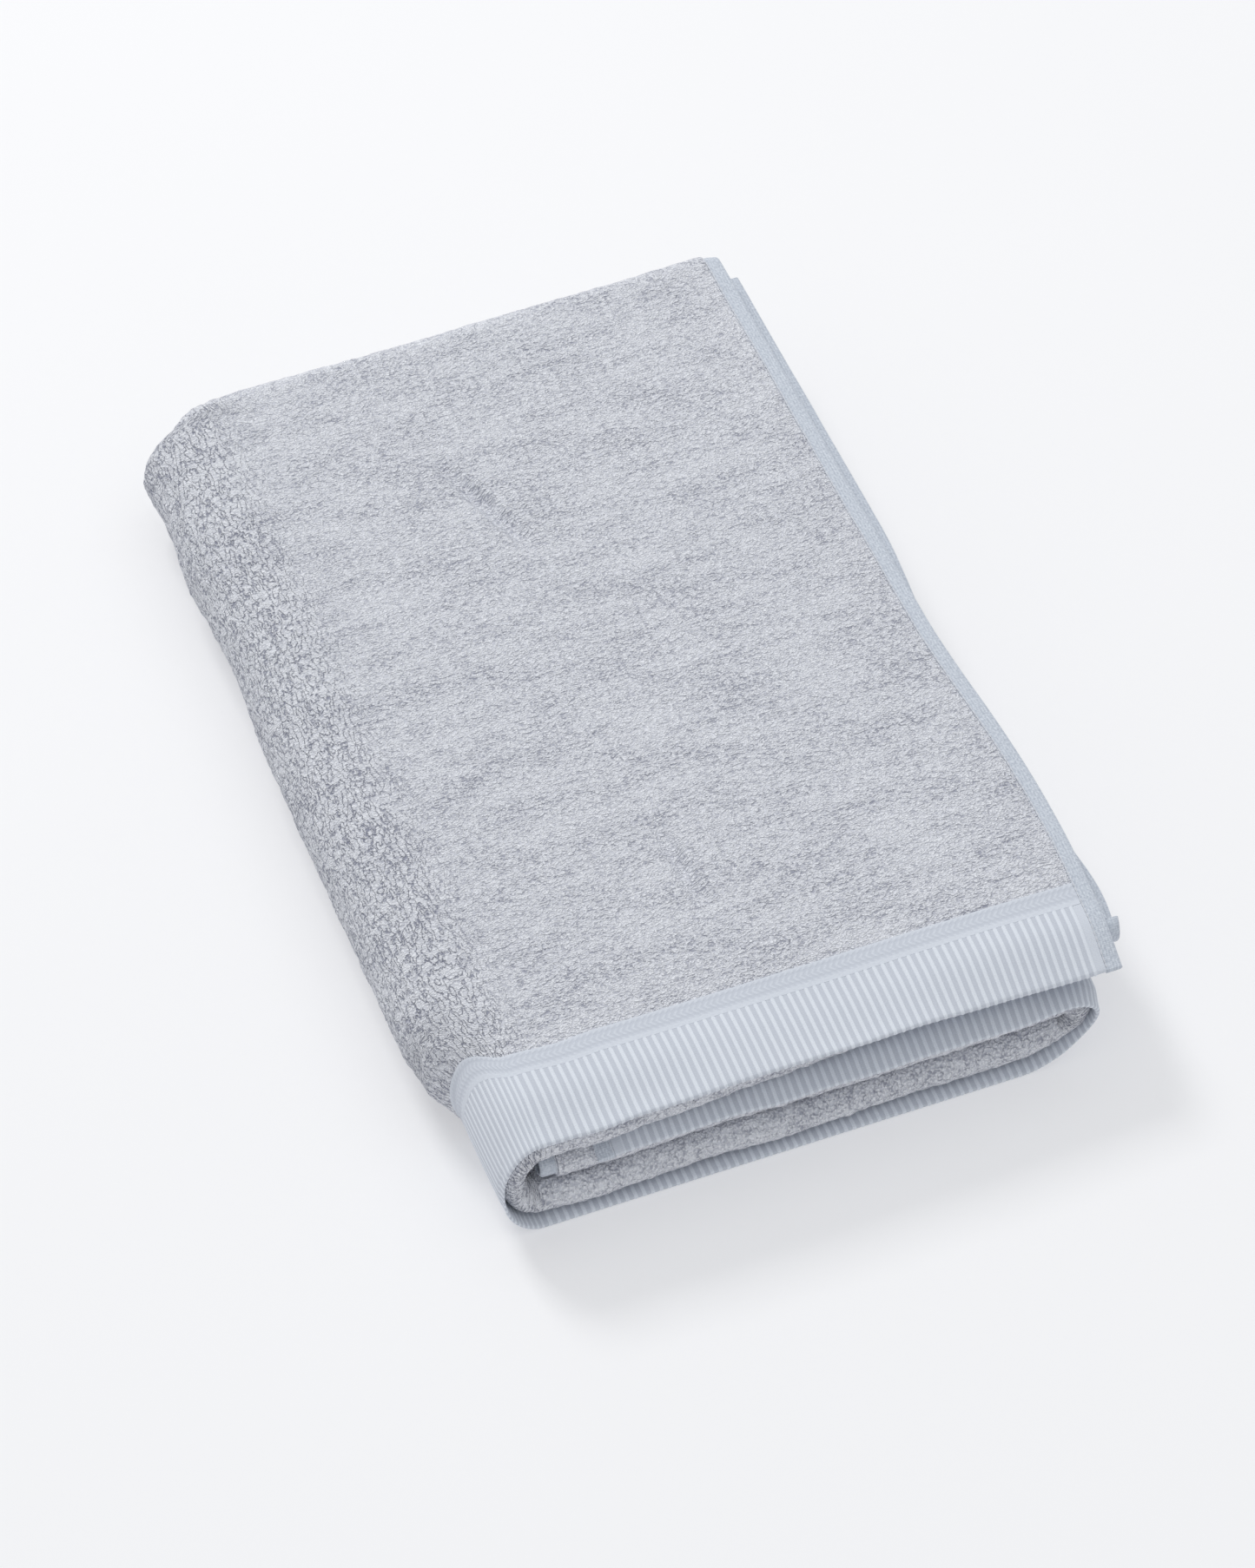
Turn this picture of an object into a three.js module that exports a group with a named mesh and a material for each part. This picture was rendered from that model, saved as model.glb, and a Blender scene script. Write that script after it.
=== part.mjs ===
// A terry bath towel with ribbed end borders, folded in thirds along its length and then in
// thirds across its width, lying flat. Millimetres, +Z up, origin at the middle of the underside.
//
// The towel is one long sheet. Every solid below is a straight bar of cloth that is first
// carried round the lengthwise folds and then round the widthwise wraps, so neighbours keep
// the same gap everywhere and the whole stack closes up without an overlap.
import * as THREE from 'three';
import { mergeVertices } from 'three/addons/utils/BufferGeometryUtils.js';

// Folded size
const WIDTH = 330;
const LENGTH = 512;
const HEIGHT = 70;

// Stack: three leaves of three plies
const PLIES = 9;
const PLY_GAP = 1.2;
const PLY_PITCH = (HEIGHT + PLY_GAP) / PLIES;
const PLY_THICKNESS = PLY_PITCH - PLY_GAP;
const LEAF_PITCH = 3 * PLY_PITCH;
const STACK_BASE = -PLY_GAP / 2;

// Places across the width. The three plies of a leaf never end quite level, so each run of
// the side hem has its own inset: on the top leaf from the right, on the inner from the left.
const RIGHT_WRAP_INSET = 9;
const TOP_HEM_INSETS = { outer: 4, under: 0, middle: 2 };
const INNER_HEM_INSETS = { outer: 62, under: 36, middle: 33 };
const SIDE_HEM_WIDTH = 8.4;
const SEAM_WIDTH = 1;
const JOIN_GAP = 0.6;

// Places along the length
const BORDER_DEPTH = 39;
const BAND_DEPTH = 13;
const FOLD_RECESS = 9;
const HIDDEN_END_INSET = 26;

// Plan rounding of the corners at the left wrap
const BACK_LEFT_ROUND = 12;
const FRONT_LEFT_ROUND = 5;

// Facets
const WRAP_STEPS = 12;
const FOLD_STEPS = 6;
const LEAF_STEPS = 5;
const PLY_STEPS = 5;

const COLOURS = {
  terry: 0xc4c7cf,
  band: 0xced2db,
  border: 0xc9cdd6,
  hem: 0xd2d5dd,
  thread: 0xe2e4ea,
};

// A leaf's height above the floor, counted from the bottom: 0, 1 or 2
function leafCentre(level) {
  return STACK_BASE + (level + 0.5) * LEAF_PITCH;
}

const LEFT_WRAP_RADIUS = LEAF_PITCH;
const RIGHT_WRAP_RADIUS = LEAF_PITCH / 2;
const OUTER_FACE = 1.5 * PLY_PITCH - PLY_GAP / 2;
const LEFT_CENTRE_X = -WIDTH / 2 + LEFT_WRAP_RADIUS + OUTER_FACE;
const RIGHT_CENTRE_X = WIDTH / 2 - RIGHT_WRAP_INSET - RIGHT_WRAP_RADIUS - OUTER_FACE;

const FRONT_Y = -LENGTH / 2;
const BACK_FOLD_Y = LENGTH / 2 - OUTER_FACE;
const FRONT_FOLD_Y = FRONT_Y + FOLD_RECESS + PLY_PITCH - PLY_GAP / 2;
const BORDER_END_Y = FRONT_Y + BORDER_DEPTH;
const BAND_END_Y = BORDER_END_Y + BAND_DEPTH;
const HIDDEN_END_Y = BACK_FOLD_Y - HIDDEN_END_INSET;
const HIDDEN_BORDER_Y = HIDDEN_END_Y - BORDER_DEPTH - BAND_DEPTH;

// The widthwise path. Each stretch gives, for t from 0 to 1, the middle of the folded strip
// in the X-Z plane and the direction its outer ply faces.
function levelStretch(fromX, toX, level, facing) {
  return (t) => ({
    x: fromX + (toX - fromX) * t,
    z: leafCentre(level),
    outX: 0,
    outZ: facing,
  });
}

function turnStretch(centreX, centreZ, radius, startAngle) {
  return (t) => {
    const angle = startAngle + Math.PI * t;
    const outX = Math.cos(angle);
    const outZ = Math.sin(angle);
    return { x: centreX + radius * outX, z: centreZ + radius * outZ, outX, outZ };
  };
}

// The lengthwise path. Each stretch gives, for t from 0 to 1, how far along Y the ply is, how
// far it stands out from the middle of the strip, and the direction of its outer face.
function plyStretch(fromY, toY, offset, facing) {
  return (t) => ({ y: fromY + (toY - fromY) * t, out: offset, outY: 0, outward: facing });
}

function foldStretch(centreY, centreOut, radius, startAngle, turn) {
  return (t) => {
    const angle = startAngle + turn * Math.PI * t;
    const outY = Math.cos(angle);
    const outward = Math.sin(angle);
    return { y: centreY + radius * outY, out: centreOut + radius * outward, outY, outward };
  };
}

// Rounds the left corners of the plan: round the left wrap the cloth slides towards the middle
// of the length as it turns, and less the nearer it already is to the middle.
function roundPlan(across, y) {
  const leftTurn = across.outX < 0 ? 1 - Math.abs(across.outZ) : 0;
  const along = THREE.MathUtils.smoothstep(Math.abs(y), 0, LENGTH / 2);
  const slide = y < 0 ? FRONT_LEFT_ROUND : -BACK_LEFT_ROUND;
  return y + along * slide * leftTurn;
}

// One point of the cloth: across and along are stretch values, depth is measured out from the
// middle of the ply
function clothPoint(across, along, depth) {
  const out = along.out + depth * along.outward;
  const x = across.x + out * across.outX;
  const z = across.z + out * across.outZ;
  return new THREE.Vector3(x, roundPlan(across, along.y + depth * along.outY), z);
}

// Even steps from 0 to 1 on one stretch, as a list of { stretch, t }
function steps(stretch, count) {
  return Array.from({ length: count + 1 }, (_, i) => ({ stretch, t: i / count }));
}

// Two lists of steps that meet end to end
function joined(first, second) {
  return first.concat(second.slice(1));
}

// A closed bar of cloth: a box with one cell per step, each corner carried to its place
function clothBar(acrossSteps, alongSteps) {
  const columns = acrossSteps.length - 1;
  const rows = alongSteps.length - 1;
  let bar = new THREE.BoxGeometry(columns, PLY_THICKNESS, rows, columns, 1, rows);
  bar.deleteAttribute('normal');
  bar.deleteAttribute('uv');
  bar = mergeVertices(bar);
  const corners = bar.attributes.position;
  for (let i = 0; i < corners.count; i += 1) {
    const column = acrossSteps[Math.round(corners.getX(i) + columns / 2)];
    const row = alongSteps[Math.round(corners.getZ(i) + rows / 2)];
    const across = column.stretch(column.t);
    const along = row.stretch(row.t);
    const point = clothPoint(across, along, corners.getY(i));
    corners.setXYZ(i, point.x, point.y, point.z);
  }
  bar.computeVertexNormals();
  return bar;
}

function finish(name) {
  return new THREE.MeshStandardMaterial({
    name,
    color: COLOURS[name],
    roughness: 0.95,
    metalness: 0,
  });
}

const FINISHES = Object.fromEntries(Object.keys(COLOURS).map((name) => [name, finish(name)]));

function addCloth(group, name, finishName, acrossSteps, alongSteps) {
  const mesh = new THREE.Mesh(clothBar(acrossSteps, alongSteps), FINISHES[finishName]);
  mesh.name = name;
  group.add(mesh);
}

// The regions of the sheet along its length, from the end border on show to the hidden one:
// name, finish, the run of side hem beside it, and its steps
const plyTop = (fromY, toY) => plyStretch(fromY, toY, PLY_PITCH, 1);
const plyUnder = (fromY, toY) => plyStretch(fromY, toY, -PLY_PITCH, -1);
const plyMiddle = (fromY, toY) => plyStretch(fromY, toY, 0, 1);
const backFold = foldStretch(BACK_FOLD_Y, 0, PLY_PITCH, Math.PI / 2, -1);
const frontFold = foldStretch(FRONT_FOLD_Y, -PLY_PITCH / 2, PLY_PITCH / 2, -Math.PI / 2, -1);

const REGIONS = [
  ['striped_border', 'border', 'outer', steps(plyTop(FRONT_Y, BORDER_END_Y - JOIN_GAP), 1)],
  ['flat_band', 'band', 'outer', steps(plyTop(BORDER_END_Y, BAND_END_Y - JOIN_GAP), 1)],
  ['terry_outer', 'terry', 'outer',
    steps(plyTop(BAND_END_Y, BACK_FOLD_Y - JOIN_GAP), PLY_STEPS)],
  ['back_fold', 'terry', 'outer', steps(backFold, FOLD_STEPS)],
  ['terry_under', 'terry', 'under',
    steps(plyUnder(BACK_FOLD_Y - JOIN_GAP, FRONT_FOLD_Y + JOIN_GAP), PLY_STEPS)],
  ['front_fold', 'terry', 'under', steps(frontFold, FOLD_STEPS)],
  ['terry_middle', 'terry', 'middle',
    steps(plyMiddle(FRONT_FOLD_Y + JOIN_GAP, HIDDEN_BORDER_Y - JOIN_GAP), PLY_STEPS)],
  ['hidden_border', 'border', 'middle', steps(plyMiddle(HIDDEN_BORDER_Y, HIDDEN_END_Y), 1)],
];

// The side hem follows the whole length of the sheet in three runs
const HEM_RUNS = [
  ['outer', joined(
    steps(plyTop(FRONT_Y, BACK_FOLD_Y), PLY_STEPS),
    steps(backFold, FOLD_STEPS),
  )],
  ['under', joined(
    steps(plyUnder(BACK_FOLD_Y - JOIN_GAP, FRONT_FOLD_Y), PLY_STEPS),
    steps(frontFold, FOLD_STEPS),
  )],
  ['middle', steps(plyMiddle(FRONT_FOLD_Y + JOIN_GAP, HIDDEN_END_Y), PLY_STEPS)],
];

// Where a run's hem starts, and where the cloth beside its seam starts, from its edge inwards
const SEAM_SPACE = SEAM_WIDTH + 2 * JOIN_GAP;
const CLOTH_INSET = SIDE_HEM_WIDTH + SEAM_SPACE;
const topEdge = (run) => WIDTH / 2 - TOP_HEM_INSETS[run];
const innerEdge = (run) => -WIDTH / 2 + INNER_HEM_INSETS[run];

// The zones of the sheet across its width, from the side hem on top to the hidden one. Each
// gives the steps for one run. Flat leaves stop a little short of the wraps.
const LEFT_JOIN_X = LEFT_CENTRE_X + JOIN_GAP;
const RIGHT_JOIN_X = RIGHT_CENTRE_X - JOIN_GAP;
const leftWrap = turnStretch(LEFT_CENTRE_X, leafCentre(1), LEFT_WRAP_RADIUS, Math.PI / 2);
const rightWrapHeight = (leafCentre(0) + leafCentre(1)) / 2;
const rightWrap = turnStretch(RIGHT_CENTRE_X, rightWrapHeight, RIGHT_WRAP_RADIUS, -Math.PI / 2);

const ZONES = [
  ['top', (run) => steps(levelStretch(topEdge(run) - CLOTH_INSET, LEFT_JOIN_X, 2, 1), LEAF_STEPS)],
  ['left_wrap', () => steps(leftWrap, WRAP_STEPS)],
  ['bottom', () => steps(levelStretch(LEFT_JOIN_X, RIGHT_JOIN_X, 0, -1), LEAF_STEPS)],
  ['right_wrap', () => steps(rightWrap, WRAP_STEPS)],
  ['inner', (run) => steps(
    levelStretch(RIGHT_JOIN_X, innerEdge(run) + CLOTH_INSET, 1, 1), LEAF_STEPS)],
];

// A strip of cloth on a leaf, between two distances in from an edge. inward is the X
// direction from the edge to the middle of the leaf.
function edgeStrip(level, edgeX, inward, near, far) {
  const ends = [edgeX + inward * near, edgeX + inward * far];
  return steps(levelStretch(Math.max(...ends), Math.min(...ends), level, 1), 1);
}

// The side hem of one leaf and the row of thread that holds it down
function addSideHem(group, leaf, level, edge, inward) {
  const threadInset = SIDE_HEM_WIDTH + JOIN_GAP;
  for (const [run, alongSteps] of HEM_RUNS) {
    const hem = edgeStrip(level, edge(run), inward, 0, SIDE_HEM_WIDTH);
    const thread = edgeStrip(level, edge(run), inward, threadInset, threadInset + SEAM_WIDTH);
    addCloth(group, `${leaf}_side_hem_${run}`, 'hem', hem, alongSteps);
    addCloth(group, `${leaf}_seam_thread_${run}`, 'thread', thread, alongSteps);
  }
}

const towel = new THREE.Group();
const topLeaf = new THREE.Group();
towel.add(topLeaf);

for (const [zone, acrossSteps] of ZONES) {
  const holder = zone === 'top' ? topLeaf : towel;
  for (const [region, finishName, run, alongSteps] of REGIONS) {
    addCloth(holder, `${zone}_${region}`, finishName, acrossSteps(run), alongSteps);
  }
}
addSideHem(topLeaf, 'top', 2, topEdge, -1);
addSideHem(towel, 'inner', 1, innerEdge, 1);

export default towel;
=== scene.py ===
"""A folded terry bath towel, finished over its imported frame.

The towel is one sheet, folded in thirds along its length and then in thirds across its width.
Three measures place a point of it: u runs across the towel, from the side hem on top to the one
inside; s runs along it, from the border on show to the hidden one; m is how far the point stands
out from the middle of the folded strip. Lengths are metres.
"""
import math

import bpy
import numpy as np
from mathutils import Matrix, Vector


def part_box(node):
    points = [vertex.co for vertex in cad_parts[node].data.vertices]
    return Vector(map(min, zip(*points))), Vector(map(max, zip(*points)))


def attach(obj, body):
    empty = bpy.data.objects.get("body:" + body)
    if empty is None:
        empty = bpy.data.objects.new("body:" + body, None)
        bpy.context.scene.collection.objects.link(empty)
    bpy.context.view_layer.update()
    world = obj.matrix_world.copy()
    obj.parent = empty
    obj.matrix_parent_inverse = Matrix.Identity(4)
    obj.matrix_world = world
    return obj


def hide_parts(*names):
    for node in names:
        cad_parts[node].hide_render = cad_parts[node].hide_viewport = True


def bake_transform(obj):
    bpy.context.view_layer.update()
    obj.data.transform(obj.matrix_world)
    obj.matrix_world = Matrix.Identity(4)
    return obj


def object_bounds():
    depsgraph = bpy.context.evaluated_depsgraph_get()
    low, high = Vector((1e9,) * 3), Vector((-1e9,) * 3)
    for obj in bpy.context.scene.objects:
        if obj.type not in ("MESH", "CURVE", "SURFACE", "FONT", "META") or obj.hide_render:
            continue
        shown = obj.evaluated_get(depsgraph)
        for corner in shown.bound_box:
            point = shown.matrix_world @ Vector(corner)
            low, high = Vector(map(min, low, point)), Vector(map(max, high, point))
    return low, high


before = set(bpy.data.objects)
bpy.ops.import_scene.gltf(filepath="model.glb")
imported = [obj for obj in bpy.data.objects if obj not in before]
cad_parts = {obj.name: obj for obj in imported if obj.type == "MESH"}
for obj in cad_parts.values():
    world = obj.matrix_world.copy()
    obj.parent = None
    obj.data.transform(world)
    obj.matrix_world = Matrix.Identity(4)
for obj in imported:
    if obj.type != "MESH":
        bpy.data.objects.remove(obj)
cad_low, cad_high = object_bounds()
MM = 0.001

# ---- Sizes, read from the frame ----------------------------------------------------------

WIDTH = cad_high[0] - cad_low[0]
LENGTH = cad_high[1] - cad_low[1]
HEIGHT = cad_high[2] - cad_low[2]


def box(node):
    """Lowest and highest corner of a node of the frame, as two arrays."""
    low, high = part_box(node)
    return np.array(low), np.array(high)


def middle_z(node):
    """Height of the middle of a flat node."""
    low, high = box(node)
    return (low[2] + high[2]) / 2


floor_ply_low, floor_ply_high = box("bottom_terry_outer")
PLY = floor_ply_high[2] - floor_ply_low[2]
PITCH = middle_z("bottom_terry_middle") - middle_z("bottom_terry_outer")
LEAF_Z = {leaf: middle_z(leaf + "_terry_middle") for leaf in ("bottom", "inner", "top")}
LEFT_X = box("left_wrap_terry_outer")[1][0]
RIGHT_X = box("right_wrap_terry_outer")[0][0]
LEFT_RADIUS = (LEAF_Z["top"] - LEAF_Z["bottom"]) / 2
RIGHT_RADIUS = (LEAF_Z["inner"] - LEAF_Z["bottom"]) / 2
FRONT_Y = -LENGTH / 2
BAND_Y = box("bottom_flat_band")[0][1]
TERRY_Y = floor_ply_low[1]
BACK_Y = box("bottom_back_fold")[0][1]
HIDDEN_BAND_Y = box("bottom_hidden_border")[0][1]
HIDDEN_END_Y = box("bottom_hidden_border")[1][1]
HALF_PLY = PLY / 2
FACE = PITCH + HALF_PLY                      # outer face of a leaf, from its middle

# Where each stretch of u starts and ends
TOP_U = WIDTH / 2 - LEFT_X
WRAP_U = TOP_U + math.pi * LEFT_RADIUS
FLOOR_U = WRAP_U + RIGHT_X - LEFT_X
TURN_U = FLOOR_U + math.pi * RIGHT_RADIUS

# ---- Cloth, as sewn and woven -------------------------------------------------------------

BORDER_PLY = 1.35 * MM    # thickness of the striped border, a single woven layer
BORDER_FACE = 10.9 * MM   # its outer face, from the middle of the leaf
BAND_PLY = 1.7 * MM
BAND_FACE = 10.6 * MM
HEM_PLY = 2.6 * MM        # the side hem, turned twice and pressed flat
HEM_MIDDLE = 8.9 * MM
HEM_WIDTH = 8.4 * MM
SEAM = 0.05 * MM          # the pile starts this close to the side hem
END_HEM = 12 * MM         # cloth turned under along the end border
NOSE = 0.75 * MM          # bend of the end hem's edge, to the middle of the cloth
RIB_PITCH = 4.25 * MM     # one light and one dark rib of the striped border
LIGHT_RIB = 0.42          # share of the pitch that the light rib takes
RIB_RELIEF = 0.38 * MM
PLAIN_EDGE = 4 * MM       # the stripes stop this far short of the side hem
ROLL_RADIUS = 9.4 * MM    # outer radius of a front fold, which springs open
ROLL_MIDDLE = ROLL_RADIUS - HALF_PLY
ROLL_M = -FACE + ROLL_RADIUS
PILE_DEPTH = 0.55 * MM    # relief of the pile between its tufts
PILE_SET = 0.45 * MM      # the middle of that relief lies this far under a ply's face
SEAM_DIP = 0.9 * MM       # how far the pile slopes down at a seam
LEFT_SPREAD = 0.22        # the left wrap's inner plies fill more of its hollow
RIGHT_SQUEEZE = 0.28      # and the right wrap's are pressed outwards, so one stays open
HOLLOW_EASE = 4 * MM      # the pile slopes down over this much at its seams
SIDE_INSET = {
    "top": {"outer": 4 * MM, "under": 0.0, "middle": 2 * MM},
    "inner": {"outer": 62 * MM, "under": 36 * MM, "middle": 33 * MM},
}
JOIN = 0.15 * MM          # hairline left between neighbouring pieces
BRAID_MIDDLE = 0.62       # middle of the braid, as a share of the flat band's depth
BRAID_TWIST = 2100        # radians of the braid's relief to a metre of cloth
STITCH = 3.3 * MM         # length of one lockstitch
THREAD_RISE = 0.42 * MM   # half of the thread's height, and below half of its width
THREAD_HALF = 0.48 * MM
THREAD_LIFT = 0.15 * MM   # the thread's middle lies this far above the hem

# ---- How the stack lies -----------------------------------------------------------------

# Rounded corners in plan: side in x and in y, and how far the round reaches along x and y
CORNERS = ((-1, 1, 0.066, 0.023), (-1, -1, 0.008, 0.006), (1, 1, 0.010, 0.010))
# Swollen or drawn-in sides: side in x, middle and reach along y, and how far out
SIDE_SWELLS = ((-1, 0.205, 0.045, -3 * MM), (-1, 0.105, 0.07, -3 * MM), (1, -0.150, 0.13, 7 * MM))
# Creases of the top: start, end, reach to each side, and depth
CREASES = (
    ((-0.029, 0.168), (-0.003, 0.092), 0.007, 6.0 * MM),
    ((-0.013, -0.099), (-0.0095, -0.150), 0.006, 4.6 * MM),
)
BACK_SKEW = 4.5 * MM      # the back edge lies askew by this much at the right
SHOULDER_X = -0.100       # furrow along the left wrap's shoulder, at the front
SHOULDER_SLANT = 0.1      # it runs this much further left to a metre of y
SHOULDER_REACH = 0.02
SHOULDER_DEPTH = 1.6 * MM
PILE_PINCH = 0.10         # share by which the left wrap is pinched where its pile ends
BORDER_PINCH = 0.28       # and the further share where the thin border starts
WALL_SETBACK = 13 * MM    # the pile ends this much further back on the left wall than on top
WIDE_SINK = 2.6 * MM      # depth of the wide, low waves of the top
FINE_SINK = 1.3 * MM      # and of the narrower ones
CURL_TOP = 0.046          # the curl of the lower leaf's corner dies out at this height
CURL_IN = 8 * MM
CURL_LIFT = 18 * MM
HEM_SETBACK = {"top": 3.2 * MM, "inner": 0.5 * MM}
ROLL_SETBACK = {"top": 0.5 * MM, "bottom": 1.5 * MM, "inner": 4.5 * MM}
ROLL_DRAW = 12 * MM       # the top leaf's front fold draws back this much towards the right
ROLL_EDGE_DRAW = 6 * MM   # and this much more at its open side
WRAP_PUSH = 10 * MM       # the right wrap's front fold stands forward, by up to a quarter of this
ROLL_WANDER = 1.2 * MM
STRAY_BACK = 6.5 * MM     # the top leaf's under ply strays out this far over the back half
STRAY_FRONT = 5 * MM      # and this far near the front
DROOP = 2.6 * MM          # the end border hangs this far where nothing is under it
DROOP_RIGHT = 4.5 * MM    # and this much more at the right
DROOP_CORNER = 2.2 * MM   # and the corner this much more again
INNER_SAG = 3.6 * MM      # the inner leaf's border sags this far at its edge

# ---- Smooth steps and noise -------------------------------------------------------------


def ease(x, start, end):
    """Goes smoothly from 0 at start to 1 at end: three t squared less two t cubed."""
    t = np.clip((x - start) / (end - start), 0, 1)
    return t * t * (3 - 2 * t)


def hump(x, middle, reach):
    """A smooth bump, 1 at the middle and 0 beyond the reach: one less t squared, squared."""
    t = np.clip(np.abs(x - middle) / reach, 0, 1)
    return (1 - t * t) ** 2


NOISE_TABLES = {}


def noise(a, b, cell_a, cell_b, seed):
    """Random heights from -1 to 1 on a lattice of cells, joined by smooth steps both ways."""
    if seed not in NOISE_TABLES:
        NOISE_TABLES[seed] = np.random.default_rng(seed).random((256, 256)) * 2 - 1
    heights = NOISE_TABLES[seed]
    a = a / cell_a
    b = b / cell_b
    i = np.floor(a).astype(int)
    j = np.floor(b).astype(int)
    f = a - i
    g = b - j
    f = f * f * (3 - 2 * f)
    g = g * g * (3 - 2 * g)
    near = heights[i & 255, j & 255] * (1 - f) + heights[(i + 1) & 255, j & 255] * f
    far = heights[i & 255, (j + 1) & 255] * (1 - f) + heights[(i + 1) & 255, (j + 1) & 255] * f
    return near * (1 - g) + far * g


# ---- The folded sheet ---------------------------------------------------------------------


def turned(u):
    """Angles turned so far in the left wrap and in the right one: arc length over radius."""
    left = np.clip((u - TOP_U) / LEFT_RADIUS, 0, math.pi)
    right = np.clip((u - FLOOR_U) / RIGHT_RADIUS, 0, math.pi)
    return left, right


def leaf_x(u):
    """X of the strip's middle, wraps included."""
    left, right = turned(u)
    straight = -np.minimum(u, TOP_U) + np.clip(u, WRAP_U, FLOOR_U) - WRAP_U
    straight = straight - np.maximum(u - TURN_U, 0)
    return WIDTH / 2 + straight - LEFT_RADIUS * np.sin(left) + RIGHT_RADIUS * np.sin(right)


def leaf_shares(u):
    """How far a place belongs to the top, bottom and inner leaf. The wraps ease between them."""
    past_left = ease(u, TOP_U, WRAP_U)
    past_right = ease(u, FLOOR_U, TURN_U)
    return 1 - past_left, past_left * (1 - past_right), past_right


def settle(x, y, z):
    """How the stack lies: its corners are rounded in plan, and the cloth sinks a little in low
    waves, in two creases and along the shoulder of the left wrap. What is higher moves more,
    but for the lower leaf's front right corner, which curls up."""
    lift = z / HEIGHT
    # Corners: the further out both ways, the more a point is drawn in, by the ratio of a
    # squarish distance from the corner's centre to the round one
    for side_x, side_y, radius_x, radius_y in CORNERS:
        a = np.maximum((x * side_x - WIDTH / 2 + radius_x) / radius_x, 1e-9)
        b = np.maximum((y * side_y - LENGTH / 2 + radius_y) / radius_y, 1e-9)
        draw = (a ** 6 + b ** 6) ** (1 / 6) / np.sqrt(a * a + b * b)
        x = np.where(a > 1e-8, x + side_x * radius_x * a * (draw - 1), x)
        y = np.where(b > 1e-8, y + side_y * radius_y * b * (draw - 1), y)
    # Sides: each swells or draws in over a stretch, and the back edge lies a little askew
    for side, middle, reach, swell in SIDE_SWELLS:
        x = x + side * swell * hump(y, middle, reach) * ease(x * side, 0.02, WIDTH / 2)
    y = y + BACK_SKEW * ease(x, -0.02, 0.15) * ease(y, 0.08, 0.25)
    # Front of the left wrap: without pile the cloth is thin there, so the bend is tighter, and
    # the pile ends further back on the wall than on top
    pinch = PILE_PINCH * ease(y, TERRY_Y + 50 * MM, TERRY_Y + 16 * MM)
    pinch = pinch + BORDER_PINCH * ease(y, TERRY_Y + 16 * MM, TERRY_Y - 5 * MM)
    y = y + WALL_SETBACK * ease(-x, 0.130, 0.158) * hump(y, TERRY_Y + 4 * MM, 42 * MM)
    x = np.where(x < LEFT_X, LEFT_X + (x - LEFT_X) * (1 - pinch), x)
    sink = WIDE_SINK * (0.5 + 0.5 * noise(x + 0.3, y + 0.5, 0.085, 0.055, 11))
    sink = sink + FINE_SINK * (0.5 + 0.5 * noise(x + 0.3, y + 0.5, 0.045, 0.018, 12))
    for start, end, width, depth in CREASES:
        sink = sink + depth * crease(x, y, start, end, width)
    from_shoulder = x + SHOULDER_SLANT * (y + LENGTH / 2)
    sink = sink + SHOULDER_DEPTH * hump(from_shoulder, SHOULDER_X, SHOULDER_REACH)
    z = z - sink * lift * ease(z, 0.25 * HEIGHT, 0.8 * HEIGHT)
    # Front right corner: the lower leaf curls up off the ground towards the wrap
    curl = ease(x, 0.112, 0.166) * ease(y, -0.10, -0.24) * (1 - np.clip(z / CURL_TOP, 0, 1))
    return x - CURL_IN * curl, y, z + CURL_LIFT * curl


def crease(x, y, start, end, width):
    """A furrow along a line: a bump across it times a bump along it, with a soft rise beside."""
    start = np.array(start)
    end = np.array(end)
    length = np.linalg.norm(end - start)
    along = (end - start) / length
    mid = (start + end) / 2
    run = (x - mid[0]) * along[0] + (y - mid[1]) * along[1]
    off = -(x - mid[0]) * along[1] + (y - mid[1]) * along[0]
    across = hump(off, 0, width) - 0.35 * hump(off, 2.2 * width, 2 * width)
    return hump(run, 0, 0.75 * length) * across


def at(u, y, m):
    """The point in space: the strip's middle at u, moved out by m along the way it faces there,
    then settled. In the wraps the inner plies are spread or squeezed, so the hollows suit."""
    left, right = turned(u)
    inner_side = np.where(m < 0, 1.0, 0.0)
    m = m * (1 + inner_side * (LEFT_SPREAD * np.sin(left) - RIGHT_SQUEEZE * np.sin(right)))
    angle = left + right
    x = leaf_x(u) - m * np.sin(angle)
    z = LEAF_Z["top"] - LEFT_RADIUS * (1 - np.cos(left)) + RIGHT_RADIUS * (1 - np.cos(right))
    z = z + m * np.cos(angle)
    x, y, z = np.broadcast_arrays(x, y, z)
    return np.stack(settle(x, y, z), axis=-1)


def hem_setback(u):
    """How far the end hem lies behind the front of the stack."""
    top, _, inner = leaf_shares(u)
    to_right = np.clip((leaf_x(u) + 0.1) / 0.26, 0, 1)
    return HEM_SETBACK["inner"] * inner + HEM_SETBACK["top"] * top * to_right


def roll_y(u):
    """Y of a front fold's centre. The top leaf's fold draws back towards the right."""
    top, bottom, inner = leaf_shares(u)
    drawn = ROLL_DRAW * ease(leaf_x(u), -0.15, 0.14) + ROLL_EDGE_DRAW * ease(leaf_x(u), 0.12, 0.16)
    set_back = top * (ROLL_SETBACK["top"] + drawn) + bottom * ROLL_SETBACK["bottom"]
    set_back = set_back + inner * ROLL_SETBACK["inner"] - WRAP_PUSH * bottom * inner
    wander = ROLL_WANDER * noise(u, u * 0, 0.045, 1, 13)
    return FRONT_Y + set_back + wander * (1 - 0.5 * inner) + ROLL_RADIUS


def stray(u, y):
    """How far the top leaf's under ply strays out from under the outer one, at its open edge."""
    amount = STRAY_BACK * ease(y, -0.04, 0.06) + STRAY_FRONT * hump(y, -0.205, 0.05)
    return amount * ease(u, 0.07, 0.0) * leaf_shares(u)[0]


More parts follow.
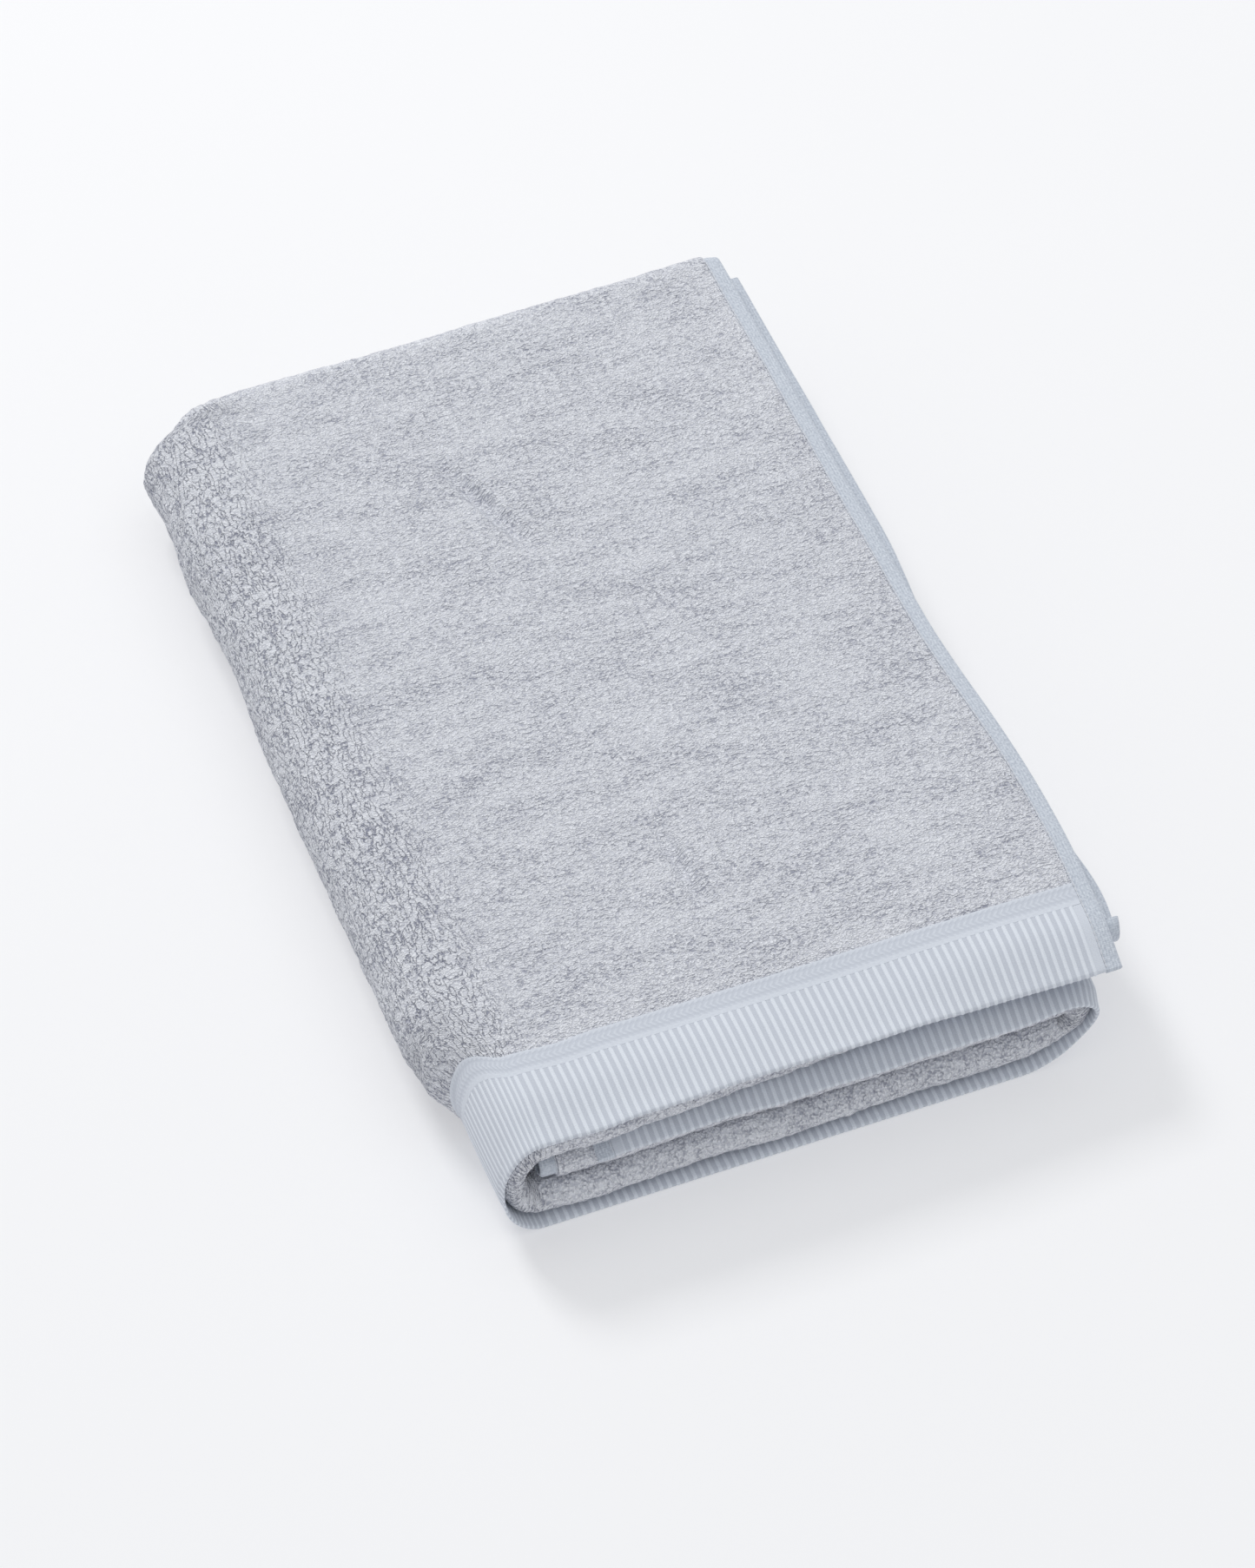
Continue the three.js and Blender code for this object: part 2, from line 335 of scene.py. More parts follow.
def droop(u, y):
    """How far the end border hangs where no fold is under it, on the top and inner leaves."""
    top, _, inner = leaf_shares(u)
    x = leaf_x(u)
    free = ease(y, FRONT_Y + 30 * MM, FRONT_Y - 4 * MM)
    to_right = ease(x, -0.02, 0.165)
    ripple = 0.6 * MM * noise(x + 0.3, x * 0, 0.03, 1, 14)
    wave = 1.6 * MM * noise(x + 0.3, x * 0, 0.024, 1, 15)
    short = ease(y, FRONT_Y + 13 * MM, FRONT_Y - 1 * MM)
    corner = DROOP_CORNER * ease(x, 0.09, 0.17) * ease(y, -0.17, FRONT_Y)
    on_top = free * (DROOP + DROOP_RIGHT * to_right + ripple) + corner
    return top * on_top + inner * short * (INNER_SAG + wave)


def wall_share(u):
    """1 where the pile opens round a wrap and its rows turn to run along the towel."""
    right = turned(u)[1]
    shoulder = ease(u, TOP_U - 0.028, TOP_U + 0.008) * ease(u, WRAP_U + 0.02, WRAP_U - 0.01)
    return np.maximum(shoulder, np.sin(right))


def pile(u, s, share):
    """Relief of the pile in metres: tufts in rows across the towel, turned on the wraps, mixed
    from lumps of three sizes."""
    rows = (0.50 * noise(u, s, 3.6 * MM, 2.2 * MM, 21)
            + 0.35 * noise(u, s, 8 * MM, 5 * MM, 22)
            + 0.30 * noise(u, s, 2.4 * MM, 1.5 * MM, 23))
    open_rows = (0.55 * noise(u, s, 2.3 * MM, 4.0 * MM, 24)
                 + 0.45 * noise(u, s, 4.4 * MM, 9 * MM, 25)
                 + 0.30 * noise(u, s, 1.6 * MM, 2.4 * MM, 26))
    return PILE_DEPTH * ((1 - share) * rows + 1.5 * share * open_rows)


def ribs(u):
    """Relief of the striped border: a narrow raised rib and a wider, lower one to each pitch,
    both with round tops. It fades out beside the side hems."""
    phase = (u / RIB_PITCH) % 1
    light = np.sin(np.pi * np.clip(phase / LIGHT_RIB, 0, 1)) ** 0.6
    dark = 0.45 * np.sin(np.pi * np.clip((phase - LIGHT_RIB) / (1 - LIGHT_RIB), 0, 1)) ** 0.6
    return RIB_RELIEF * (light + dark)


# ---- Meshes from grids ----------------------------------------------------------------------


def object_from(name, points, quads, triangles, measures, sharp, material, wall=None):
    """A piece from points and faces, smooth but for its sharp edges. Its UV map holds u and s,
    and its wall attribute, where given, how open the pile is."""
    mesh = bpy.data.meshes.new(name)
    mesh.vertices.add(len(points))
    mesh.vertices.foreach_set("co", points.astype(np.float32).ravel())
    corners = np.concatenate([quads.ravel(), triangles.ravel()])
    starts = np.concatenate([np.arange(len(quads)) * 4,
                             quads.size + np.arange(len(triangles)) * 3])
    mesh.loops.add(len(corners))
    mesh.loops.foreach_set("vertex_index", corners.astype(np.int32))
    mesh.polygons.add(len(starts))
    mesh.polygons.foreach_set("loop_start", starts.astype(np.int32))
    mesh.update(calc_edges=True)
    layer = mesh.uv_layers.new(name="Cloth")
    layer.data.foreach_set("uv", measures[corners].astype(np.float32).ravel())
    if sharp is not None:
        ends = np.zeros(len(mesh.edges) * 2, np.int32)
        mesh.edges.foreach_get("vertices", ends)
        ends = ends.reshape(-1, 2)
        loops = sharp[ends]
        both = (loops[:, 0] > 0) & (loops[:, 0] == loops[:, 1])
        mesh.attributes.new("sharp_edge", "BOOLEAN", "EDGE").data.foreach_set("value", both)
    if wall is not None:
        mesh.attributes.new("wall", "FLOAT", "POINT").data.foreach_set(
            "value", wall.astype(np.float32))
    if mesh.validate():
        raise ValueError(name + " has a broken face")
    mesh.materials.append(material)
    piece = bpy.data.objects.new(name, mesh)
    bpy.context.collection.objects.link(piece)
    return piece


def border_loop(rows, columns, first):
    """Indices round the edge of a grid: along u, along s, back along u, back along s."""
    grid = np.arange(rows * columns).reshape(rows, columns) + first
    return np.concatenate([grid[:-1, 0], grid[-1, :-1], grid[:0:-1, -1], grid[0, :0:-1]])


def grid_quads(rows, columns, first):
    """The squares of a grid, wound so that they face out of the cloth."""
    grid = np.arange(rows * columns).reshape(rows, columns) + first
    return np.stack([grid[:-1, :-1], grid[:-1, 1:], grid[1:, 1:], grid[1:, :-1]],
                    axis=-1).reshape(-1, 4)


def slab(name, place, u, t, coarse, material, walls=False):
    """A closed piece of cloth. place(u, t, side) gives points, and u and s, of the outer face
    (side 1) on every grid line and of the inner face (side 0) on every coarse-th one. Fans of
    triangles close the rim: each length of the inner edge meets that many of the outer."""
    outer, outer_measures = place(u[:, None], t[None, :], 1)
    inner, inner_measures = place(u[::coarse, None], t[None, ::coarse], 0)
    rows, columns = outer.shape[:2]
    inner_rows, inner_columns = inner.shape[:2]
    first = rows * columns
    points = np.concatenate([outer.reshape(-1, 3), inner.reshape(-1, 3)])
    measures = np.concatenate([outer_measures.reshape(-1, 3), inner_measures.reshape(-1, 3)])
    quads = np.concatenate([grid_quads(rows, columns, 0),
                            grid_quads(inner_rows, inner_columns, first)[:, ::-1]])
    dense = border_loop(rows, columns, 0)
    sparse = border_loop(inner_rows, inner_columns, first)
    step = np.arange(len(dense))
    half = coarse // 2
    near = (step // coarse + (step % coarse >= half)) % len(sparse)
    fans = np.stack([dense, np.roll(dense, -1), sparse[near]], axis=-1)
    middles = dense[np.arange(len(sparse)) * coarse + half]
    caps = np.stack([middles, np.roll(sparse, -1), sparse], axis=-1)
    sharp = np.zeros(len(points), np.int8)
    sharp[dense] = 1
    sharp[sparse] = 2
    return object_from(name, points, quads, np.concatenate([fans, caps]), measures[:, :2], sharp,
                       material, measures[:, 2] if walls else None)


def spaced(start, end, step, coarse):
    """Even places from start to end, about a step apart, in a multiple of coarse intervals."""
    count = max(1, round((end - start) / (step * coarse))) * coarse
    return np.linspace(start, end, count + 1)


# ---- Regions along the towel: each gives y, m and s for the outer and the inner face -------------

NOSE_RUN = math.pi * NOSE
BORDER_MIDDLE = BORDER_FACE - BORDER_PLY / 2
BORDER_S = BAND_Y - FRONT_Y
TERRY_S = TERRY_Y - FRONT_Y
BACK_S = BACK_Y - FRONT_Y
UNDER_S = BACK_S + math.pi * PITCH
ROLL_S = UNDER_S + (BACK_Y - FRONT_Y - 2 * ROLL_RADIUS)
MIDDLE_S = ROLL_S + math.pi * ROLL_MIDDLE


def side_ease(u, edges):
    """1 over the cloth, easing to 0 at a seam across u. Edges are the seams' places or None."""
    share = np.ones_like(u)
    if edges[0] is not None:
        share = share * (0.25 + 0.75 * ease(u, edges[0], edges[0] + HOLLOW_EASE))
    if edges[1] is not None:
        share = share * (0.25 + 0.75 * ease(u, edges[1], edges[1] - HOLLOW_EASE))
    return share


def cloth_u(u, m):
    """u measured on the cloth itself: in a wrap a ply that is m further out has that much
    more radius, so its arc is longer by m times the angle turned."""
    left, right = turned(u)
    return u + m * (left + right)


def measures_of(u, s, m):
    """The cloth's own measures across and along, for the UV map, and the wall's share."""
    return np.stack(np.broadcast_arrays(cloth_u(u, m), s, wall_share(u)), axis=-1)


def end_border(edges):
    """The striped border. From 12 mm in underneath it runs to the edge, turns over a small
    nose and comes back on top, as a hem does; w is the length along it from the nose."""
    def place(u, w, side):
        edge = FRONT_Y + hem_setback(u)
        stretch = (BAND_Y - JOIN - edge - NOSE) / (BORDER_S - NOSE)
        turn = np.clip(w / NOSE_RUN + 1, 0, 1) * math.pi - math.pi / 2
        depth = BORDER_PLY / 2 * (1 if side else -1)
        fade = 1.0
        if side:
            for edge_u, inward in zip(edges, (1, -1)):
                if edge_u is not None:
                    fade = fade * ease(inward * (u - edge_u), PLAIN_EDGE, PLAIN_EDGE + 1 * MM)
            depth = depth - RIB_RELIEF + ribs(cloth_u(u, BORDER_MIDDLE)) * fade
        radius = NOSE + depth
        middle = BORDER_MIDDLE - NOSE
        y = edge + NOSE - radius * np.cos(turn)
        y = y + np.maximum(w, 0) * stretch + np.maximum(-NOSE_RUN - w, 0)
        m = middle + radius * np.sin(turn)
        m = m - droop(u, y)
        return at(u, y, m), measures_of(u, w, BORDER_MIDDLE)
    return place


def flat_band(u, t, side):
    """The band between the stripes and the pile: flat, with a low braid woven across it."""
    y = BAND_Y + t * (TERRY_Y - JOIN - BAND_Y)
    across = cloth_u(u, BORDER_MIDDLE)
    slant = across + 0.01 * np.abs(t - BRAID_MIDDLE)
    braid = 0.16 * MM * hump(t, BRAID_MIDDLE, 0.3) * np.sin(slant * BRAID_TWIST)
    m = BAND_FACE + (braid if side else -BAND_PLY)
    s = BORDER_S + t * (TERRY_S - BORDER_S)
    return at(u, y, m - droop(u, y)), measures_of(u, s, BORDER_MIDDLE)


def outer_terry(edges):
    """The outer ply: a level slab whose pile slopes down to the band and to the side seam."""
    def place(u, t, side):
        y = TERRY_Y + t * (BACK_Y - TERRY_Y)
        s = TERRY_S + t * (BACK_S - TERRY_S)
        if not side:
            return at(u, y, PITCH - HALF_PLY + 0 * u), measures_of(u, s, PITCH)
        low = (1 - ease(y, TERRY_Y - 1 * MM, TERRY_Y + HOLLOW_EASE)) + (1 - side_ease(u, edges))
        fade = ease(t * (BACK_Y - TERRY_Y), 0, 3 * MM) * 0.6 + 0.4
        relief = pile(cloth_u(u, PITCH), s, wall_share(u)) * fade
        m = FACE - PILE_SET - SEAM_DIP * np.minimum(low, 1) + relief
        return at(u, y, m - droop(u, y)), measures_of(u, s, PITCH)
    return place


def back_fold(u, t, side):
    """Half a turn round the back: a half circle about the middle of the leaf."""
    s = BACK_S + t * math.pi * PITCH
    radius = PITCH - HALF_PLY + 0 * u
    if side:
        radius = FACE - PILE_SET + pile(cloth_u(u, 0.0), s, wall_share(u))
    y = BACK_Y + radius * np.sin(math.pi * t)
    m = radius * np.cos(math.pi * t)
    return at(u, y, m), measures_of(u, s, 0.0)


def under_terry(u, t, side):
    """The ply that comes back under the outer one, level and facing the other way."""
    y = BACK_Y + t * (roll_y(u) - BACK_Y)
    s = UNDER_S + t * (ROLL_S - UNDER_S)
    m = -(PITCH - HALF_PLY) + 0 * u
    if side:
        m = -(FACE - PILE_SET + pile(cloth_u(u, -PITCH), s, 0))
    return at(u - stray(u, y), y, m), measures_of(u, s, -PITCH)


def front_fold(u, t, side):
    """The springy fold at the front: half a circle, wider than the back one. Its pile opens."""
    s = ROLL_S + t * math.pi * ROLL_MIDDLE
    if side:
        lumps = 0.5 * MM * noise(u, s, 0.028, 0.016, 27)
        blend = hump(t, 0.5, 0.5)
        tufts_out = pile(cloth_u(u, ROLL_M), s, 0) * (1 + 0.5 * blend)
        radius = ROLL_RADIUS - PILE_SET + tufts_out + lumps * blend
    else:
        radius = ROLL_RADIUS - PLY + 0 * u
    y = roll_y(u) - radius * np.sin(math.pi * t)
    m = ROLL_M - radius * np.cos(math.pi * t)
    return at(u, y, m), measures_of(u, s, ROLL_M)


def middle_m(u, y):
    """Middle of the third ply: it leaves the front fold high and falls to the leaf's middle."""
    return (ROLL_M + ROLL_MIDDLE) * (1 - ease(y, roll_y(u) + 1 * MM, -0.184))


def middle_terry(u, t, side):
    """The third ply, between the other two: it falls from the front fold, then lies level."""
    start = roll_y(u)
    y = start + t * (HIDDEN_BAND_Y - start)
    s = MIDDLE_S + t * (HIDDEN_BAND_Y - FRONT_Y)
    ply_m = middle_m(u, y)
    m = ply_m + (HALF_PLY - PILE_SET if side else -HALF_PLY)
    return at(u, y, m), measures_of(u, s, ply_m)


def hidden_border(u, t, side):
    """The far end of the sheet, inside the leaf: a thin woven strip, level."""
    y = HIDDEN_BAND_Y + JOIN + t * (HIDDEN_END_Y - HIDDEN_BAND_Y)
    m = BORDER_PLY * (1 if side else -1) + 0 * u
    return at(u, y, m), measures_of(u, MIDDLE_S + (HIDDEN_BAND_Y - FRONT_Y) + t * BORDER_S, 0.0)


# ---- Side hems and their stitches -----------------------------------------------------------


def run_line(run, u, t):
    """Middle of the side hem along one run, t from 0 to 1: y, m, and the hem's facing as a
    y part and an m part. The outer run takes the back fold and the under run the front one."""
    if run == "middle":
        start = roll_y(u)
        y = start + t * (HIDDEN_END_Y - start)
        return y, middle_m(u, y) + 0.4 * MM, 0 * y, 1 + 0 * y, MIDDLE_S + t * (HIDDEN_END_Y - FRONT_Y)
    if run == "outer":
        start = FRONT_Y + hem_setback(u)
        level = BACK_Y - start
        radius = HEM_MIDDLE + (PITCH - HEM_MIDDLE) * ease(t, 0.93, 1)
        length = level + math.pi * PITCH
        gone = t * length
        turn = np.clip((gone - level) / PITCH, 0, math.pi)
        y = start + np.minimum(gone, level) + radius * np.sin(turn)
        m = radius * np.cos(turn)
        return y, m - droop(u, y), np.sin(turn), np.cos(turn), gone
    end = roll_y(u)
    level = BACK_Y - end
    length = level + math.pi * ROLL_MIDDLE
    gone = t * length
    turn = np.clip((gone - level) / ROLL_MIDDLE, 0, math.pi)
    y = BACK_Y - np.minimum(gone, level) - ROLL_MIDDLE * np.sin(turn)
    m = ROLL_M - ROLL_MIDDLE * np.cos(turn)
    return y, m, -np.sin(turn), -np.cos(turn), UNDER_S + gone


def side_hem(run, edge_u, inward):
    """A pressed hem: its thickness is full across it and rounds off like half an ellipse at
    the open edge."""
    def place(u, t, side):
        y, m, face_y, face_m, s = run_line(run, u, t)
        gone = np.clip((u - edge_u) * inward / (1.6 * MM), 0, 1)
        half = HEM_PLY / 2 * np.sqrt(np.maximum(1 - (1 - gone) ** 2, 0.0025))
        pucker = 0.22 * MM * noise(u, s, 9 * MM, 4.2 * MM, 31) * gone
        depth = (half if side else -half) + pucker
        out = stray(u, y) if run == "under" else 0.0
        return at(u - out, y + depth * face_y, m + depth * face_m), measures_of(u, s, 0.0)
    return place


def stitch_row(name, run, seam_u, material):
    """Lockstitches: a six-sided tube along the seam whose radius swells and closes with each
    stitch, by the square root of a sine. About six rings go to a stitch."""
    length = {"outer": 0.54, "under": 0.52, "middle": 0.47}[run]
    t = np.linspace(0.002, 0.998, round(length / (STITCH / 6)))
    sides = np.arange(6) / 6 * 2 * math.pi
    y, m, face_y, face_m, s = run_line(run, np.full((1, 1), seam_u), t[None, :])
    swell = 0.18 + 0.82 * np.sqrt(np.abs(np.sin(math.pi * s / STITCH)))
    swell[..., 0] = 0.02
    swell[..., -1] = 0.02
    out = HEM_PLY / 2 + THREAD_LIFT + THREAD_RISE * swell * np.sin(sides)[:, None]
    u = seam_u + THREAD_HALF * swell * np.cos(sides)[:, None]
    shift = stray(u, y) if run == "under" else 0.0
    points = at(u - shift, y + out * face_y, m + out * face_m)
    count = points.shape[1]
    ring = np.arange(6 * count).reshape(6, count)
    after = np.roll(ring, -1, axis=0)
    quads = np.stack([ring[:, :-1], after[:, :-1], after[:, 1:], ring[:, 1:]], -1).reshape(-1, 4)
    ends = []
    for column, order in ((0, 1), (-1, -1)):
        rim = ring[::-order, column]
        ends += [(rim[0], rim[k], rim[k + 1]) for k in range(1, 5)]
    return object_from(name, points.reshape(-1, 3), quads, np.array(ends),
                       measures_of(u, s, 0.0).reshape(-1, 3)[:, :2], None, material)


# ---- Materials ------------------------------------------------------------------------------


def linear(hex_colour):
    """An sRGB hex colour as linear red, green, blue and full opacity."""
    parts = [int(hex_colour[i:i + 2], 16) / 255 for i in (1, 3, 5)]
    return [p / 12.92 if p <= 0.04045 else ((p + 0.055) / 1.055) ** 2.4 for p in parts] + [1.0]


def add(tree, kind, inputs=(), **settings):
    """Adds a node. Settings are its own options; inputs are values or sockets, by socket."""
    node = tree.nodes.new(kind)
    for name, value in settings.items():
        setattr(node, name, value)
    for key, value in dict(inputs).items():
        if isinstance(value, bpy.types.NodeSocket):
            tree.links.new(value, node.inputs[key])
        else:
            node.inputs[key].default_value = value
    return node


def new_material(name, roughness, sheen):
    """A material with its shader, and the cloth's own measures in millimetres as a socket."""
    material = bpy.data.materials.new(name)
    material.use_nodes = True
    tree = material.node_tree
    shader = tree.nodes["Principled BSDF"]
    shader.inputs["Roughness"].default_value = roughness
    shader.inputs["Specular IOR Level"].default_value = 0.2
    shader.inputs["Sheen Weight"].default_value = sheen
    shader.inputs["Sheen Roughness"].default_value = 0.6
    cloth = add(tree, "ShaderNodeUVMap", uv_map="Cloth")
    measures = add(tree, "ShaderNodeMapping", {"Vector": cloth.outputs[0], "Scale": (1000, 1000, 1000)})
    return material, tree, shader, measures.outputs[0]


def maths(tree, operation, *values):
    """One sum of the tree: the operation on up to three values or sockets."""
    return add(tree, "ShaderNodeMath", dict(enumerate(values)), operation=operation).outputs[0]


def fit(tree, value, low, high, to_low=0.0, to_high=1.0):
    """Maps low to high onto another range, with soft ends."""
    node = add(tree, "ShaderNodeMapRange", {"Value": value, "From Min": low, "From Max": high,
               "To Min": to_low, "To Max": to_high}, interpolation_type="SMOOTHSTEP")
    return node.outputs["Result"]


def stretched(tree, measures, across, along):
    """The cloth's measures divided by a cell's size in millimetres."""
    scale = (1 / across, 1 / along, 1)
    return add(tree, "ShaderNodeMapping", {"Vector": measures, "Scale": scale}).outputs[0]


def grain(tree, measures, across, along, detail=2.0, rough=0.55):
    """Soft noise, its cells that many millimetres across and along."""
    return add(tree, "ShaderNodeTexNoise", {"Vector": stretched(tree, measures, across, along),
               "Scale": 1.0, "Detail": detail, "Roughness": rough}).outputs[0]


def blend_colours(tree, share, first, second):
    """A colour between two."""
    node = add(tree, "ShaderNodeMix", {0: share, 6: first, 7: second}, data_type="RGBA")
    return node.outputs[2]


def blend_values(tree, share, first, second):
    """A value between two."""
    return add(tree, "ShaderNodeMix", {0: share, 2: first, 3: second}, data_type="FLOAT").outputs[0]


def relief(tree, shader, height, distance, strength):
    """Turns a height from 0 to 1 into shading, for that many metres of depth."""
    bump = add(tree, "ShaderNodeBump", {"Height": height, "Distance": distance, "Strength": strength})
    tree.links.new(bump.outputs[0], shader.inputs["Normal"])


def tufts(tree, measures, across, along):
    """Rounded tufts, about one to a cell of that many millimetres each way: 1 on top of a
    tuft, 0 in the gaps."""
    node = add(tree, "ShaderNodeTexVoronoi", {"Vector": stretched(tree, measures, across, along),
               "Scale": 1.0, "Smoothness": 0.45}, feature="SMOOTH_F1", voronoi_dimensions="2D")
    return fit(tree, node.outputs["Distance"], 0.02, 0.68, 1.0, 0.0)


def partings(tree, measures, across, along, width):
    """Partings between rows of pile, which the terry's colour darkens as painted shade: the lines
    where a soft noise crosses its middle value, its cells that many millimetres each way."""
    lines = grain(tree, measures, across, along, 1.5, 0.5)
    away = maths(tree, "ABSOLUTE", maths(tree, "SUBTRACT", lines, 0.5))
    return fit(tree, away, 0.0, width, 1.0, 0.0)


def cotton_terry():
    """Looped cotton pile, woven in rows and fluffed by washing. The eye sees small rounded
    tufts of 1 to 2 mm, soft partings along the rows about 3 mm apart, and patches where the
    nap lies more open. Round a wrap the rows open along the towel and the partings deepen.
    Its colour follows the bump's height, with painted shade in the gaps between tufts and along the
    partings."""
    material, tree, shader, measures = new_material("cotton_terry_loop_pile", 0.95, 0.12)
    wall = add(tree, "ShaderNodeAttribute", attribute_name="wall").outputs["Fac"]
    wobble = add(tree, "ShaderNodeTexNoise", {"Vector": measures, "Scale": 0.5, "Detail": 1.0})
    aside = add(tree, "ShaderNodeVectorMath", {0: wobble.outputs[1], 1: (1.7, 1.1, 0.0), 2: measures},
                operation="MULTIPLY_ADD").outputs[0]
    heads = tufts(tree, aside, 1.3, 1.0)
    loops = grain(tree, measures, 0.7, 0.55, 2.0, 0.6)
    nap = grain(tree, measures, 46, 15, 2.5, 0.55)
    open_share = fit(tree, nap, 0.36, 0.64, 0.55, 1.0)
    level = maths(tree, "MULTIPLY", partings(tree, aside, 6.5, 3.0, 0.07), open_share)
    opened = maths(tree, "MULTIPLY", partings(tree, aside, 2.7, 7.5, 0.06), 1.8)
    parting = blend_values(tree, wall, level, opened)
    lumps = grain(tree, aside, 4.5, 2.3, 1.0)
    # Painted shade: the colour below is taken from this height, so the gaps between tufts, the lower
    # lumps and the partings are painted darker, the open partings of the wraps most
    height = maths(tree, "MULTIPLY_ADD", heads, 0.44, maths(tree, "MULTIPLY", loops, 0.25))
    height = maths(tree, "MULTIPLY_ADD", parting, -0.25, height)
    height = maths(tree, "MULTIPLY_ADD", lumps, 0.60, height)
    tone = maths(tree, "MULTIPLY_ADD", nap, -0.30, maths(tree, "ADD", height, -0.08))
    share = fit(tree, tone, -0.36, 0.62)
    colour = blend_colours(tree, share, linear(TERRY_GAP_SHADE), linear(TERRY_TIP))
    tree.links.new(colour, shader.inputs["Base Color"])
    relief(tree, shader, height, 1.7 * MM, 0.85)
    return material


def striped_cotton(plain_from, plain_to):
    """Rib weave of two yarns in one cloth: narrow light cords and wider, greyer ones, 4.25 mm
    to the pair, crossed by the fine weft. Beside the side hems it turns to plain weave."""
    material, tree, shader, measures = new_material("cotton_rib_weave_two_tone", 0.85, 0.08)
    parts = add(tree, "ShaderNodeSeparateXYZ", {0: measures})
    phase = maths(tree, "FRACT", maths(tree, "DIVIDE", parts.outputs[0], RIB_PITCH / MM))
    dark_middle = (1 + LIGHT_RIB) / 2
    away = maths(tree, "ABSOLUTE", maths(tree, "SUBTRACT", phase, dark_middle))
    wobble = maths(tree, "MULTIPLY_ADD", grain(tree, measures, 0.9, 1.3), 0.10, -0.05)
    away = maths(tree, "ADD", away, wobble)
    half = (1 - LIGHT_RIB) / 2
    light = fit(tree, away, half - 0.06, half + 0.06)
    inside = maths(tree, "MULTIPLY", fit(tree, parts.outputs[0], plain_from, plain_from + 1),
                   fit(tree, parts.outputs[0], plain_to, plain_to - 1))
    light = blend_values(tree, inside, 0.45, light)
    weft = maths(tree, "SINE", maths(tree, "MULTIPLY", parts.outputs[1], 2 * math.pi / 0.9))
    fibre = grain(tree, measures, 0.7, 0.55, 2.0, 0.6)
    colour = blend_colours(tree, light, linear(RIB_GREY), linear(RIB_LIGHT))
    shade = maths(tree, "MULTIPLY_ADD", fibre, 0.28, 0.86)
    shade = maths(tree, "MULTIPLY_ADD", weft, 0.018, shade)
    colour = add(tree, "ShaderNodeMix", {0: 1.0, 6: colour, 7: shade}, data_type="RGBA",
                 blend_type="MULTIPLY").outputs[2]
    tree.links.new(colour, shader.inputs["Base Color"])
    height = maths(tree, "MULTIPLY_ADD", weft, 0.12, fibre)
    relief(tree, shader, height, 0.35 * MM, 0.35)
    return material


def braided_cotton():
    """The flat band between pile and stripes: close plain weave with a low herringbone of
    3 mm braid along its middle, a shade greyer than the light yarn either side."""
    material, tree, shader, measures = new_material("cotton_braid_weave", 0.85, 0.08)
    parts = add(tree, "ShaderNodeSeparateXYZ", {0: measures})
    middle = (BORDER_S + 0.56 * (TERRY_S - BORDER_S)) / MM
    off = maths(tree, "ABSOLUTE", maths(tree, "SUBTRACT", parts.outputs[1], middle))
    slant = maths(tree, "MULTIPLY_ADD", off, 0.8, parts.outputs[0])
    strands = maths(tree, "SINE", maths(tree, "MULTIPLY", slant, 2 * math.pi / 3.0))
    zone = fit(tree, off, 5.2, 3.8)
    line = fit(tree, maths(tree, "ABSOLUTE", maths(tree, "SUBTRACT", off, 2.8)), 1.0, 0.3)
    fibre = grain(tree, measures, 1.6, 0.7, 2.0, 0.6)
    grey = maths(tree, "MULTIPLY", zone, maths(tree, "MULTIPLY_ADD", strands, 0.22, 0.26))
    grey = maths(tree, "MULTIPLY_ADD", line, 0.30, grey)
    grey = maths(tree, "MULTIPLY_ADD", fibre, 0.7, maths(tree, "ADD", grey, 0.14))
    colour = blend_colours(tree, fit(tree, grey, 0.0, 1.0), linear(RIB_LIGHT), linear(RIB_GREY))
    tree.links.new(colour, shader.inputs["Base Color"])
    relief(tree, shader, maths(tree, "SUBTRACT", fibre, grey), 0.5 * MM, 0.45)
    return material


def hem_cotton():
    """Plain weave of the turned side hem: fine threads both ways, under 1 mm apart, pressed
    flat, so it is smoother and a little lighter than the pile."""
    material, tree, shader, measures = new_material("cotton_plain_weave_hem", 0.85, 0.08)
    parts = add(tree, "ShaderNodeSeparateXYZ", {0: measures})
    warp = maths(tree, "SINE", maths(tree, "MULTIPLY", parts.outputs[0], 2 * math.pi / 1.4))
    weft = maths(tree, "SINE", maths(tree, "MULTIPLY", parts.outputs[1], 2 * math.pi / 0.95))
    weave = maths(tree, "MULTIPLY_ADD", weft, 0.5, maths(tree, "MULTIPLY", warp, 0.5))
    fibre = grain(tree, measures, 1.1, 1.5, 3.0, 0.6)
    tone = maths(tree, "MULTIPLY_ADD", weave, 0.10, fibre)
    colour = blend_colours(tree, fit(tree, tone, 0.2, 0.85), linear(HEM_DEEP), linear(HEM_LIGHT))
    tree.links.new(colour, shader.inputs["Base Color"])
    relief(tree, shader, tone, 0.4 * MM, 0.4)
    return material


def sewing_thread():
    """Spun sewing thread, two plies twisted at under 1 mm: the lightest line on the towel."""
    material, tree, shader, measures = new_material("spun_cotton_thread", 0.75, 0.05)
    parts = add(tree, "ShaderNodeSeparateXYZ", {0: measures})
    slant = maths(tree, "MULTIPLY_ADD", parts.outputs[0], 1.4, parts.outputs[1])
    twist = maths(tree, "SINE", maths(tree, "MULTIPLY", slant, 2 * math.pi / 0.8))
    tone = maths(tree, "MULTIPLY_ADD", twist, 0.25, 0.6)
    colour = blend_colours(tree, tone, linear(HEM_DEEP), linear(THREAD_LIGHT))
    tree.links.new(colour, shader.inputs["Base Color"])
    relief(tree, shader, twist, 0.15 * MM, 0.4)
    return material


TERRY_TIP = "#F4F6FC"
